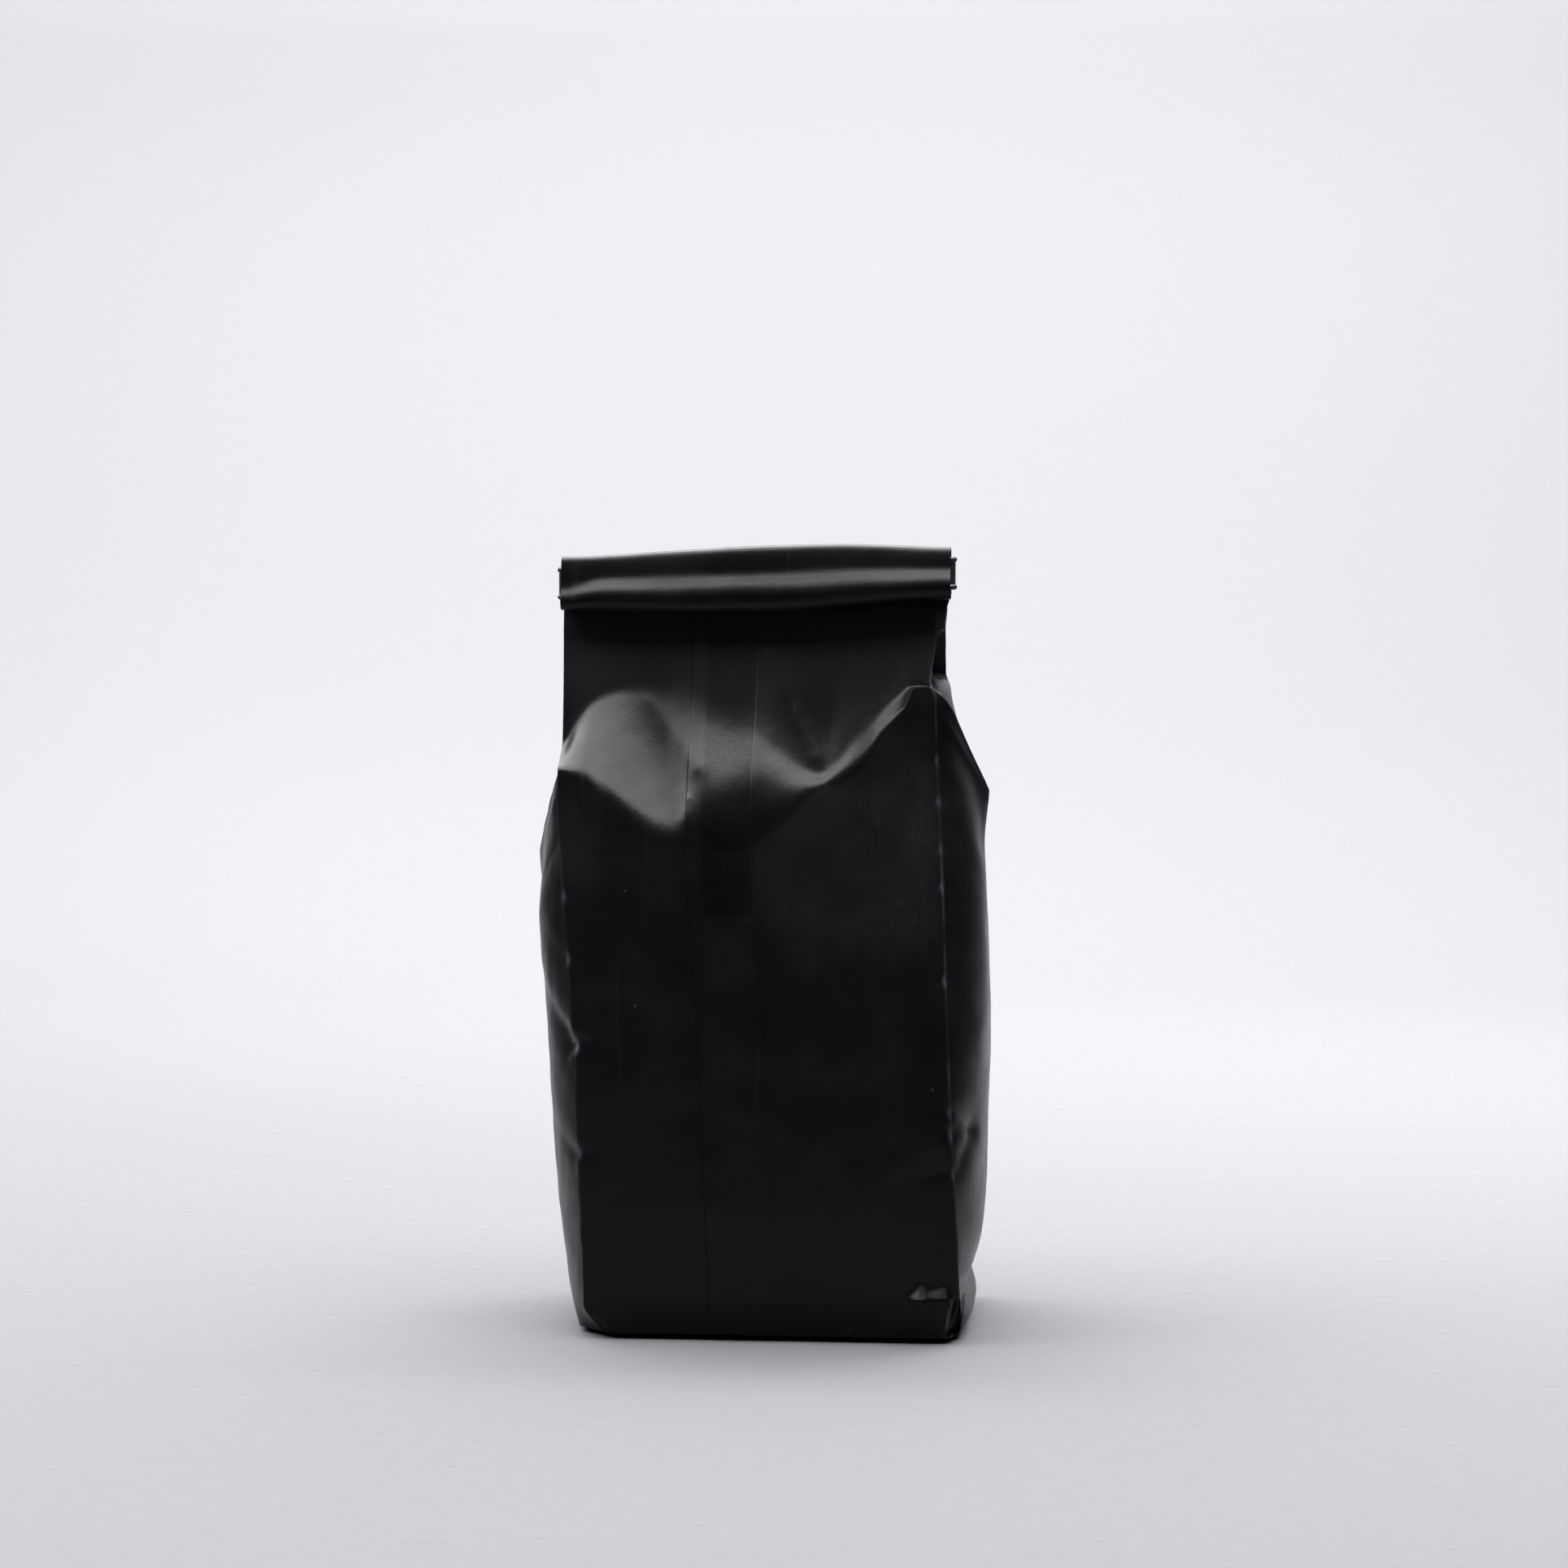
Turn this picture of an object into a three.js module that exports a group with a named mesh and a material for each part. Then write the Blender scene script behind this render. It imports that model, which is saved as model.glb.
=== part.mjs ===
// A side-gusset coffee bag, filled, with its top rolled forward and held by a tin tie.
// Millimetres, +Z up. The seam side faces -Y. The origin is on the floor, under the middle of the bag.

import * as THREE from "three";

// ---- driving dimensions -------------------------------------------------------------------------

const body = {
  halfDepth: 29, // from the middle to the creases
  crown: 1.8, // how far the middle of a panel stands proud of its creases
  rows: 15,
};

const base = {
  edgeLift: 1.3, // height of the folded bottom edge above the floor
  flatInset: 6, // from the edge in to the flat underside, which the bag stands on
  turnHeight: 9, // below this height the walls curve under
  turnInset: 1.8,
  leftCut: 4.2, // the corners, folded in at a slant
  rightCut: 2.4,
  cutHeight: 8,
};

const gusset = {
  columns: 5, // in each half
  leftPeak: 106, // height where the middle of the gusset starts to fold in
  rightPeak: 120,
  foldReach: 24, // how far the fold goes in between the panels
  foldHeight: 143,
  bendFrom: 75, // the front panel is bent back between these heights
  bendTo: 136,
};

const neck = {
  left: -43.6,
  right: 42.6,
  frontInset: 1.7, // the front panel ends that much short of the back one, on the right
  y: -12,
  height: 156, // from here up the panels lie together
  thickness: 2.6,
  settling: 0.8, // 0 would let the film settle back to the neck in a straight line
  rows: 18,
};

const roll = {
  left: -43.4,
  right: 42.4,
  start: -Math.PI / 9, // where the film joins the neck, and where it ends inside
  end: (13 * Math.PI) / 6,
  film: 0.9, // front, back and gusset layers together
  pitch: 1.25, // from one turn to the next
  squareness: 3, // 2 would make the section an ellipse
  fullDepth: 2.6, // the layers at the back keep their room above the nose
  rows: 32,
};

const seam = { left: -0.328, right: 0.008, edge: 0.012, relief: 0.35 }; // across the panel, -1 to 1

const tie = {
  width: 7.2,
  band: 0.55,
  wireRadius: 0.6,
  clearance: 0.3,
  tab: 19, // length folded flat behind the roll
  bendRadius: 1.6,
  wireSides: 8,
};

// ---- small maths --------------------------------------------------------------------------------

const mix = (a, b, t) => a + (b - a) * t;
const ease = (a, b, x) => {
  const t = Math.min(1, Math.max(0, (x - a) / (b - a)));
  return t * t * (3 - 2 * t);
};
const spread = (from, to, count) =>
  Array.from({ length: count }, (_, i) => mix(from, to, i / count));
const point = (x, y, z) => new THREE.Vector3(x, y, z);

// A smooth curve through a few [position, value] stations, which never swings past them.
function through(...stations) {
  const last = stations.length - 1;
  const grade = (i) =>
    (stations[i + 1][1] - stations[i][1]) / (stations[i + 1][0] - stations[i][0]);
  const slope = (i) => {
    if (i === 0 || i === last || grade(i - 1) * grade(i) <= 0) return 0;
    return (2 * grade(i - 1) * grade(i)) / (grade(i - 1) + grade(i));
  };
  return (x) => {
    if (x <= stations[0][0]) return stations[0][1];
    if (x >= stations[last][0]) return stations[last][1];
    const i = stations.findIndex((s) => s[0] > x) - 1;
    const h = stations[i + 1][0] - stations[i][0];
    const t = (x - stations[i][0]) / h;
    const s = 1 - t;
    return (
      stations[i][1] * (1 + 2 * t) * s * s +
      stations[i + 1][1] * (1 + 2 * s) * t * t +
      h * t * s * (slope(i) * s - slope(i + 1) * t)
    );
  };
}

// ---- profiles that shape the film ---------------------------------------------------------------

// x of the creases by height: the filled bag leans to the left.
const leftCrease = through([0, -37.2], [27, -37.8], [58, -38.8], [98, -41.8], [124, -43.5]);
const rightCrease = through([0, 45.6], [28, 44.6], [51, 43.2], [90, 41.8], [143, 39.6]);

// How far the middle of each gusset stands out past its creases, by height.
const leftBulge = through([0, 5.4], [14, 7.4], [31, 8.6], [76, 9.4], [106, 8.7]);
const rightBulge = through(
  [0, 0.6], [5, 2.6], [11, 1.2], [16, 3], [24, 5], [42, 6.6], [71, 8.6], [108, 8.8], [120, 10],
);

// A panel leans back from its wall between its edge and its turn, u running across it from the left
// crease (-1) to the right one (1). These are the heights where that stretch begins and ends.
const frontEdge = through(
  [-1, 124.6], [-0.9, 122.9], [-0.71, 117.8], [-0.58, 113], [-0.45, 109.2], [-0.33, 108.2],
  [-0.2, 107.8], [-0.05, 108], [0.06, 110], [0.14, 112.6], [0.23, 115.6], [0.31, 119.4],
  [0.4, 121.2], [0.48, 122], [0.57, 124.4], [0.65, 127.6], [0.73, 132.4], [0.82, 137.8],
  [0.86, 141.4], [1, 142.4],
);
const frontTurn = through(
  [-1, 130.5], [-0.91, 135.8], [-0.84, 139.8], [-0.76, 141.9], [-0.65, 143], [-0.41, 142.4],
  [-0.32, 139.5], [-0.23, 135.3], [-0.15, 133.4], [-0.06, 132.2], [0.03, 131.8], [0.11, 129.8],
  [0.2, 127.3], [0.29, 125.2], [0.38, 124], [0.46, 127], [0.54, 132.2], [0.63, 136],
  [0.72, 139.9], [0.8, 142.4], [0.86, 143.5], [1, 143.6],
);
const backEdge = through([-1, 122], [-0.55, 116], [-0.15, 119], [0.3, 114], [0.72, 127], [1, 140]);
const backTurn = through([-1, 134], [-0.4, 147], [0.25, 144], [1, 146]);

// The share of the stretch that goes by before the lean is full, the height over which it ends, and
// the share of the full lean left by then.
const frontRise = through(
  [-1, 0.3], [-0.7, 0.2], [-0.4, 0.2], [-0.2, 0.75], [0, 1], [0.4, 0.8], [0.65, 0.4], [1, 0.3],
);
const frontSoft = through(
  [-1, 3], [-0.6, 4], [-0.3, 10], [-0.05, 9], [0.1, 5], [0.3, 3.5], [0.38, 2.5], [0.7, 3.5],
  [0.85, 2], [1, 1],
);
const frontTaper = through([-1, 1], [-0.85, 1], [-0.45, 0.45], [-0.22, 1], [1, 1]);
const backRise = through([-1, 0.5], [0, 0.8], [1, 0.6]);
const backSoft = through([-1, 4], [-0.4, 10], [0.25, 8], [1, 2]);

// How far the turn stands clear of the neck: from there the film settles back to it.
const frontStep = through(
  [-1, 3], [-0.5, 1.8], [-0.2, 4.8], [0.1, 7], [0.38, 7.4], [0.54, 5.4], [0.72, 4], [0.86, 3],
  [1, 2],
);

// How far the front panel is bent back by the time it reaches the shoulder.
const frontSetBack = through(
  [-1, 5.5], [-0.85, 4.2], [-0.7, 1.2], [-0.4, 0.4], [0, 5.2], [0.35, 8], [0.7, 9.2], [0.85, 8.6],
  [1, 6],
);

// The rolled top by x: its upper and lower edge, and its depth from back to front.
const rollTop = through([-42, 172.2], [-18, 173.5], [4, 174.5], [18, 174.8], [44, 174.1]);
const rollBottom = through([-42, 160.3], [-18, 159.6], [2, 159.8], [44, 162.6]);
const rollDepth = through([-42, 7.4], [-28, 7.8], [2, 8], [32, 7.8], [44, 7.4]);
const rollMiddle = (x) => (rollTop(x) + rollBottom(x)) / 2;

// The share of that depth which the roll keeps, from its lower edge (-1) to its upper one (1).
const rollFullness = through([-1, 1], [-0.45, 1], [0.35, 0.46], [0.65, 0.43], [1, 0.3]);

const sides = {
  left: { sign: -1, crease: leftCrease, bulge: leftBulge, peak: gusset.leftPeak },
  right: { sign: 1, crease: rightCrease, bulge: rightBulge, peak: gusset.rightPeak },
};
const panels = {
  front: {
    facing: -1,
    edge: frontEdge,
    turn: frontTurn,
    rise: frontRise,
    soft: frontSoft,
    taper: frontTaper,
    step: frontStep,
    setBack: frontSetBack,
  },
  back: {
    facing: 1,
    edge: backEdge,
    turn: backTurn,
    rise: backRise,
    soft: backSoft,
    taper: () => 1,
    step: () => 2,
    setBack: () => 0,
  },
};

// ---- columns of film, anticlockwise once round the bag ------------------------------------------

// A panel's columns carry u, from -1 to 1; a gusset's carry f, from 0 at the front to 2 at the back.
const columns = [
  ...spread(-1, seam.left, 8),
  seam.left,
  ...spread(seam.left + seam.edge, seam.right - seam.edge, 4),
  seam.right - seam.edge,
  ...spread(seam.right, 1, 14),
].map((u) => ({ panel: "front", u }));
const frontColumns = columns.length;
const backColumns = 16;
columns.push(
  ...spread(0, 2, 2 * gusset.columns).map((f) => ({ side: "right", f })),
  ...spread(1, -1, backColumns).map((u) => ({ panel: "back", u })),
  ...spread(2, 0, 2 * gusset.columns).map((f) => ({ side: "left", f })),
);

const towardsMiddle = (f) => 1 - Math.abs(1 - f); // 0 at a crease, 1 at the gusset's middle

// The ends of a gusset column lie on the creases of the panels beside it.
const creaseOf = ({ side, f }) => ({ panel: f < 1 ? "front" : "back", u: sides[side].sign });

// ---- the filled part, from the bottom edge to the shoulder --------------------------------------

function wallTop(column) {
  if (column.panel) return panels[column.panel].edge(column.u);
  return mix(wallTop(creaseOf(column)), sides[column.side].peak, towardsMiddle(column.f));
}

function cornerCut(sign, nearCorner, z) {
  const cut = sign < 0 ? base.leftCut : base.rightCut;
  return cut * nearCorner * (1 - ease(0, base.cutHeight, z));
}

// How far a crease, or a panel beside it, is bent back at one height.
function bentBack({ panel, u }, z) {
  return panels[panel].setBack(u) * ease(gusset.bendFrom, gusset.bendTo, z);
}

function wallPoint(column, v) {
  const z = mix(base.edgeLift, wallTop(column), v);
  const under = base.turnInset * (1 - ease(0, base.turnHeight, z)) ** 2;
  if (column.panel) {
    const { u } = column;
    const crown = body.crown * (1 - u ** 4) * ease(0, 30, z);
    const inSeam = column.panel === "front" && u > seam.left && u < seam.right;
    const cut = cornerCut(u, ease(0.86, 1, Math.abs(u)), z);
    const proud = crown + (inSeam ? seam.relief : 0) - under - 0.3 * cut - bentBack(column, z);
    return point(
      mix(leftCrease(z), rightCrease(z), (u + 1) / 2) - Math.sign(u) * cut,
      panels[column.panel].facing * (body.halfDepth + proud),
      z,
    );
  }
  const side = sides[column.side];
  const h = towardsMiddle(column.f);
  const round = mix(1 - (1 - h) ** 2, h, ease(0.8, 1, v));
  const cut = cornerCut(side.sign, 1 - ease(0, 0.3, h), z);
  return point(
    side.crease(z) + side.sign * (side.bulge(z) * round - under * h - cut),
    (column.f - 1) * (body.halfDepth - under - 0.3 * cut - bentBack(creaseOf(column), z)),
    z,
  );
}

// ---- the shoulder and the neck ------------------------------------------------------------------

// Where a column runs once the panels lie together with the gussets folded in between them, and
// which way it stands out from the middle of the film pack: -1 in front to 1 behind.
function inNeck(column) {
  if (column.panel) {
    const inset = column.panel === "front" ? neck.frontInset * ease(0.3, 1, column.u) : 0;
    return {
      x: mix(neck.left, neck.right, (column.u + 1) / 2) - inset,
      out: panels[column.panel].facing,
    };
  }
  const h = towardsMiddle(column.f);
  const { x } = inNeck(creaseOf(column));
  return { x: x - 0.3 * h * sides[column.side].sign, out: column.f - 1 };
}

function neckPoint(column) {
  const { x, out } = inNeck(column);
  return point(x, neck.y + (out * neck.thickness) / 2, neck.height);
}

// A panel from its wall to the neck. How steeply it leans at each height is added up into how far it
// has fallen back, and the curve is then cut into even steps of film.
function panelShoulder(column) {
  const { facing, edge, turn, rise, soft, taper, step } = panels[column.panel];
  const { u } = column;
  const wall = wallPoint(column, 1);
  const end = neckPoint(column);
  const samples = 200;
  const heights = [...spread(edge(u), neck.height, samples), neck.height];
  const leaning = [0];
  const settling = [0];
  for (const z of heights.slice(1)) {
    const along = (z - edge(u)) / (turn(u) - edge(u));
    const lean = ease(0, rise(u), along) * mix(1, taper(u), THREE.MathUtils.clamp(along, 0, 1));
    const ended = ease(turn(u) - soft(u) / 2, turn(u) + soft(u) / 2, z);
    const left = THREE.MathUtils.clamp((neck.height - z) / (neck.height - turn(u)), 0, 1);
    leaning.push(leaning.at(-1) + lean * (1 - ended));
    settling.push(settling.at(-1) + ended * left ** neck.settling);
  }
  const leanDepth = Math.abs(wall.y - end.y) - step(u);
  const curve = new THREE.SplineCurve(
    heights.map((z, i) => {
      const leaned = (leanDepth * leaning[i]) / leaning[samples];
      const settled = (step(u) * settling[i]) / settling[samples];
      return new THREE.Vector2(leaned + settled, z);
    }),
  );
  curve.arcLengthDivisions = 2 * samples;
  return curve.getSpacedPoints(neck.rows).map(({ x: fallen, y: z }) => {
    const x = mix(wall.x, end.x, ease(edge(u), neck.height, z));
    return point(x, wall.y - facing * fallen, z);
  });
}

// A gusset is drawn between its two creases, and its middle tucks in between the panels.
function gussetShoulder(column) {
  const side = sides[column.side];
  const ahead = panelShoulder({ panel: "front", u: side.sign });
  const behind = panelShoulder({ panel: "back", u: side.sign });
  const middle = { side: column.side, f: 1 };
  const edge = side.sign < 0 ? neck.left : neck.right;
  const route = new THREE.QuadraticBezierCurve3(
    wallPoint(middle, 1),
    point(edge - side.sign * gusset.foldReach, neck.y + 3, gusset.foldHeight),
    neckPoint(middle),
  );
  return ahead.map((p, j) => {
    const tuck = route.getPoint(j / neck.rows).sub(p.clone().lerp(behind[j], 0.5));
    return p
      .clone()
      .lerp(behind[j], column.f / 2)
      .addScaledVector(tuck, towardsMiddle(column.f));
  });
}

const shoulder = (column) => (column.panel ? panelShoulder(column) : gussetShoulder(column));

// ---- closed bodies from rings of points ---------------------------------------------------------

// Rings run from first to last, each of them anticlockwise seen from the last one. The ends are
// closed by a ladder between point 0 and the far side, so a long thin ring closes cleanly.
function closedBody(rings, ladderFrom = 0) {
  const n = rings[0].length;
  const index = [];
  for (let j = 0; j + 1 < rings.length; j++)
    for (let i = 0; i < n; i++) {
      const a = j * n + i;
      const b = j * n + ((i + 1) % n);
      index.push(a, b, b + n, a, b + n, a + n);
    }
  const at = (ring, i) => ring * n + ((((ladderFrom + i) % n) + n) % n);
  const rung = (ring, a, b, c) => {
    const corners = [at(ring, a), at(ring, b), at(ring, c)];
    index.push(...(ring === 0 ? corners.reverse() : corners));
  };
  for (const ring of [0, rings.length - 1])
    for (let i = 0; 2 * i + 1 < n - 1; i++) {
      rung(ring, i, i + 1, -i - 1);
      if (2 * i + 2 < n - 1) rung(ring, i + 1, -i - 2, -i - 1);
    }
  return new THREE.BufferGeometry()
    .setAttribute(
      "position",
      new THREE.Float32BufferAttribute(rings.flat().flatMap((p) => p.toArray()), 3),
    )
    .setIndex(index);
}

// ---- the rolled top -----------------------------------------------------------------------------

// The middle of the film pack, in y and z, at one x: it goes up behind the roll, over its top
// crease, down its front and on round inside it.
function rollPath(x, angle) {
  const inset = (a) => (roll.pitch * (a - roll.start)) / (2 * Math.PI);
  const over = inset(Math.PI / 2);
  const under = inset((3 * Math.PI) / 2);
  const halfDepth = rollDepth(x) / 2;
  const halfHeight = (rollTop(x) - rollBottom(x) - roll.film + over + under) / 2;
  const bow = (value) => Math.sign(value) * Math.abs(value) ** (2 / roll.squareness);
  const depth = halfDepth - (halfDepth - inset(angle)) * bow(Math.cos(angle));
  const z = (halfHeight - inset(angle)) * bow(Math.sin(angle));
  const beyond = Math.max(0, depth - roll.fullDepth);
  return new THREE.Vector2(
    neck.y - (depth - beyond + beyond * rollFullness(z / halfHeight)),
    rollMiddle(x) + (over - under) / 2 + z,
  );
}

function rollPoint(column, angle) {
  const { x, out } = inNeck(column);
  const along = rollPath(x, angle + 0.01).sub(rollPath(x, angle - 0.01)).normalize();
  const middle = rollPath(x, angle);
  const half = (out * roll.film) / 2;
  return point(x, middle.x + half * along.y, middle.y - half * along.x);
}

// ---- the bag ------------------------------------------------------------------------------------

function bagBody() {
  const bottom = columns.map((column) => wallPoint(column, 0));
  const middle = (leftCrease(0) + rightCrease(0)) / 2;
  const underside = (inset, z) =>
    bottom.map((p) => {
      const across = (p.x - middle) / (rightCrease(0) - middle);
      return point(p.x - inset * across, p.y - (inset * p.y) / body.halfDepth, z);
    });
  const rings = [
    underside(base.flatInset, 0),
    underside(0.4 * base.flatInset, 0.3 * base.edgeLift),
  ];
  for (let j = 0; j <= body.rows; j++) {
    const v = (j / body.rows) ** 1.35; // closer together at the foot
    rings.push(columns.map((column) => wallPoint(column, v)));
  }
  const shoulders = columns.map(shoulder);
  for (let j = 1; j <= neck.rows; j++) rings.push(shoulders.map((points) => points[j]));
  for (const angle of spread(roll.start, roll.end, roll.rows))
    rings.push(columns.map((column) => rollPoint(column, angle)));
  return closedBody(rings, frontColumns + gusset.columns);
}

// ---- the tin tie --------------------------------------------------------------------------------

// Seen from above: along the back, round one end of the roll, through the roll, and back again.
function tieRoute() {
  const out = tie.clearance + tie.wireRadius;
  const left = roll.left - out;
  const right = roll.right + out;
  const behind = neck.y + roll.film / 2 + out;
  const inside = neck.y - roll.fullDepth - tie.wireRadius + 0.1;
  const route = [new THREE.Vector2(left + tie.bendRadius + tie.tab, behind)];
  let heading = Math.PI;
  const forward = () => new THREE.Vector2(Math.cos(heading), Math.sin(heading));
  const go = (length) =>
    route.push(route[route.length - 1].clone().addScaledVector(forward(), length));
  const turnLeft = () => {
    const steps = 5;
    for (let i = 0; i < steps; i++) {
      heading += Math.PI / 4 / steps;
      go(2 * tie.bendRadius * Math.sin(Math.PI / 4 / steps));
      heading += Math.PI / 4 / steps;
    }
  };
  const across = right - left - 2 * tie.bendRadius;
  for (const length of [tie.tab, behind - inside - 2 * tie.bendRadius]) {
    go(length);
    turnLeft();
  }
  for (let i = 0; i < 4; i++) go(across / 4);
  turnLeft();
  go(behind - inside - 2 * tie.bendRadius);
  turnLeft();
  go(tie.tab);
  return route;
}

// A flat band with a wire along each edge: half its outline is worked out and then turned round.
function tieSection() {
  const { width, band, wireRadius, wireSides } = tie;
  const wireHeight = width / 2 - wireRadius;
  const meet = Math.asin(band / 2 / wireRadius);
  const half = [];
  for (let i = 0; i <= wireSides; i++) {
    const angle = mix(-Math.PI / 2 + meet, (3 * Math.PI) / 2 - meet, i / wireSides);
    half.push([wireRadius * Math.cos(angle), wireHeight + wireRadius * Math.sin(angle)]);
  }
  return [...half, ...half.map(([x, z]) => [-x, -z])];
}

function tieBody() {
  const route = tieRoute();
  const section = tieSection();
  const slope = (rollMiddle(roll.right) - rollMiddle(roll.left)) / (roll.right - roll.left);
  const rings = route.map((place, i) => {
    const before = route[Math.max(0, i - 1)];
    const after = route[Math.min(route.length - 1, i + 1)];
    const along = after.clone().sub(before).normalize();
    const z = rollMiddle(roll.left) + slope * (place.x - roll.left);
    return section.map(([x, up]) => point(place.x - x * along.y, place.y + x * along.x, z + up));
  });
  return closedBody(rings, tie.wireSides / 2);
}

// ---- the part -----------------------------------------------------------------------------------

const filmMaterial = new THREE.MeshStandardMaterial({ color: 0x17191c, roughness: 0.45 });
const tieMaterial = new THREE.MeshStandardMaterial({ color: 0x101113, roughness: 0.6 });

function named(name, geometry, material) {
  const mesh = new THREE.Mesh(geometry, material);
  mesh.name = name;
  return mesh;
}

const coffeeBag = new THREE.Group();
coffeeBag.add(
  named("bag", bagBody(), filmMaterial),
  named("tin_tie", tieBody(), tieMaterial),
);
export default coffeeBag;
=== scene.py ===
import math

import bpy
import numpy as np
from mathutils import Euler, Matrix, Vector


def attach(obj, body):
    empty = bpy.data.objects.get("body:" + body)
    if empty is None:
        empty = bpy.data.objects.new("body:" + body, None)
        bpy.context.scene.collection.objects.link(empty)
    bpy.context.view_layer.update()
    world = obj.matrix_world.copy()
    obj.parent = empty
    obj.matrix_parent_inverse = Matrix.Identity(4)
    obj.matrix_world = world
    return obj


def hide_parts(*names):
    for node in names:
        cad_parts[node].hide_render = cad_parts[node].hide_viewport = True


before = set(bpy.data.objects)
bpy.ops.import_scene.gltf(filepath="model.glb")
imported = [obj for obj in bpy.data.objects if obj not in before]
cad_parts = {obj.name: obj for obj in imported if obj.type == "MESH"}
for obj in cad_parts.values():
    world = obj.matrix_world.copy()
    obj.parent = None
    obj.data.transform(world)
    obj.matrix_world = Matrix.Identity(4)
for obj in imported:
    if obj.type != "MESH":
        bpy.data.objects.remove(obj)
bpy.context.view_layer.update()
mm = 0.001

# Everything below is worked out in millimetres and turned into metres when a mesh is made.


# Small maths


def mix(a, b, t):
    return a + (b - a) * t


def ease(a, b, x):
    t = np.clip((x - a) / (b - a), 0, 1)
    return t * t * (3 - 2 * t)


# A smooth curve through (position, value) stations that never swings past them.
def through(*stations):
    at, value = np.array(stations, float).T
    grade = np.diff(value) / np.diff(at)
    before, after = grade[:-1], grade[1:]
    total = np.where(before * after > 0, before + after, 1)
    inner = np.where(before * after > 0, 2 * before * after / total, 0)
    slope = np.concatenate([[0], inner, [0]])

    def curve(x):
        x = np.clip(x, at[0], at[-1])
        i = np.clip(np.searchsorted(at, x, side="right") - 1, 0, len(at) - 2)
        h = at[i + 1] - at[i]
        t = (x - at[i]) / h
        s = 1 - t
        start = value[i] * (1 + 2 * t) * s * s
        end = value[i + 1] * (1 + 2 * s) * t * t
        return start + end + h * t * s * (slope[i] * s - slope[i + 1] * t)

    return curve


# Slow waves in every direction, the same on every run.
def ripples(a, b, wavelength, seed, waves=9):
    random = np.random.default_rng(seed)
    total = 0
    for _ in range(waves):
        turn, phase = random.uniform(0, 2 * math.pi, 2)
        length = wavelength * random.uniform(0.6, 1.6)
        along = a * math.cos(turn) + b * math.sin(turn)
        total = total + np.cos(2 * math.pi * along / length + phase)
    return total / math.sqrt(waves)


# The shape of the bag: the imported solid's, with a reworked front shoulder and rounder gussets

body = {
    "halfDepth": 29,
    "crown": 1.8,
    "crownHeights": (0, 30),
    "bendHeights": (75, 136),
}
base = {
    "edgeLift": 1.3,
    "undersideRings": ((6, 0), (2.4, 0.4)),
    "turnHeight": 9,
    "turnInset": 1.8,
    "leftCut": 4.2,
    "rightCut": 2.4,
    "cutHeight": 8,
    "cutAcross": (0.86, 1),
    "cutInGusset": 0.3,
    "cutBack": 0.3,
}
gusset = {
    "leftPeak": 106,
    "rightPeak": 120,
    "fullness": 2.6,
    "straightens": (0.8, 1),
    "foldReach": 24,
    "foldBehind": 3,
    "foldHeight": 143,
}
neck = {
    "left": -43.6,
    "right": 42.6,
    "frontInset": 1.7,
    "insetAcross": (0.3, 1),
    "gussetInset": 0.3,
    "y": -12,
    "height": 156,
    "thickness": 2.6,
    "settling": 0.8,
    "backStep": 2,
    "leanSteps": 400,
}
roll = {
    "start": -math.pi / 9,
    "end": 13 * math.pi / 6,
    "film": 0.9,
    "pitch": 1.25,
    "squareness": 3,
    "fullDepth": 2.6,
    "nudge": 0.01,
}
seam = {
    "left": -0.328,
    "right": 0.022,
    "relief": 0.32,
    "edge": 0.0035,
    "softEdge": 0.014,
    "knurlLeft": -0.252,
    "knurlRight": 0.008,
    "knurlDepth": 0.12,
    "bottom": 93.5,
    "bottomFade": 0.6,
    "top": 159.5,
    "lift": 0.55,
    "liftFrom": (111, 116),
    "liftTo": (119.4, 120.2),
    "liftWidth": 0.03,
}

leftCrease = through((0, -37.2), (27, -37.8), (58, -38.8), (98, -41.8), (124, -43.5))
rightCrease = through((0, 45.6), (28, 44.6), (51, 43.2), (90, 41.8), (143, 39.6))
leftBulge = through((0, 4.8), (14, 6.8), (31, 8.2), (76, 9.4), (106, 8.7))
rightBulge = through(
    (0, 0.6), (5, 2.6), (11, 1.2), (16, 3), (24, 5), (42, 6.6), (71, 8.6), (108, 8.8), (120, 10)
)
# The film leans back from its panel between the edge and the turn, u running across the panel.
frontEdge = through(
    (-1, 124.6), (-0.9, 122.9), (-0.71, 117.8), (-0.58, 113), (-0.45, 109.2), (-0.33, 108.2),
    (-0.2, 107.8), (-0.05, 108), (0.06, 110), (0.14, 112.6), (0.23, 115.6), (0.31, 119.4),
    (0.4, 121.4), (0.48, 122.4), (0.57, 124.8), (0.65, 128.7), (0.7, 132.2), (0.77, 135.4),
    (0.83, 138.3), (0.87, 141.8), (0.89, 143.1), (1, 143.4),
)
frontTurn = through(
    (-1, 130.5), (-0.91, 135.8), (-0.84, 139.8), (-0.76, 141.9), (-0.65, 143), (-0.41, 142.4),
    (-0.32, 139.5), (-0.23, 135.3), (-0.15, 133.4), (-0.06, 132.2), (0.03, 131.8), (0.11, 129.8),
    (0.2, 127.3), (0.29, 125.2), (0.38, 124), (0.46, 126.4), (0.54, 131), (0.63, 134.8),
    (0.72, 138.6), (0.8, 141.6), (0.86, 143.15), (0.9, 143.25), (1, 143.5),
)
# How much of that stretch goes by before the lean is full, and how softly it ends, in millimetres.
frontRise = through(
    (-1, 0.3), (-0.7, 0.2), (-0.4, 0.2), (-0.2, 0.75), (0, 1), (0.4, 0.8), (0.65, 0.4), (1, 0.3)
)
frontSoft = through(
    (-1, 3), (-0.6, 4), (-0.3, 10), (-0.05, 9), (0.1, 5), (0.3, 4.5), (0.38, 4), (0.55, 4), (0.7, 3),
    (0.84, 1.6), (0.88, 0.25), (1, 0.2),
)
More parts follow.
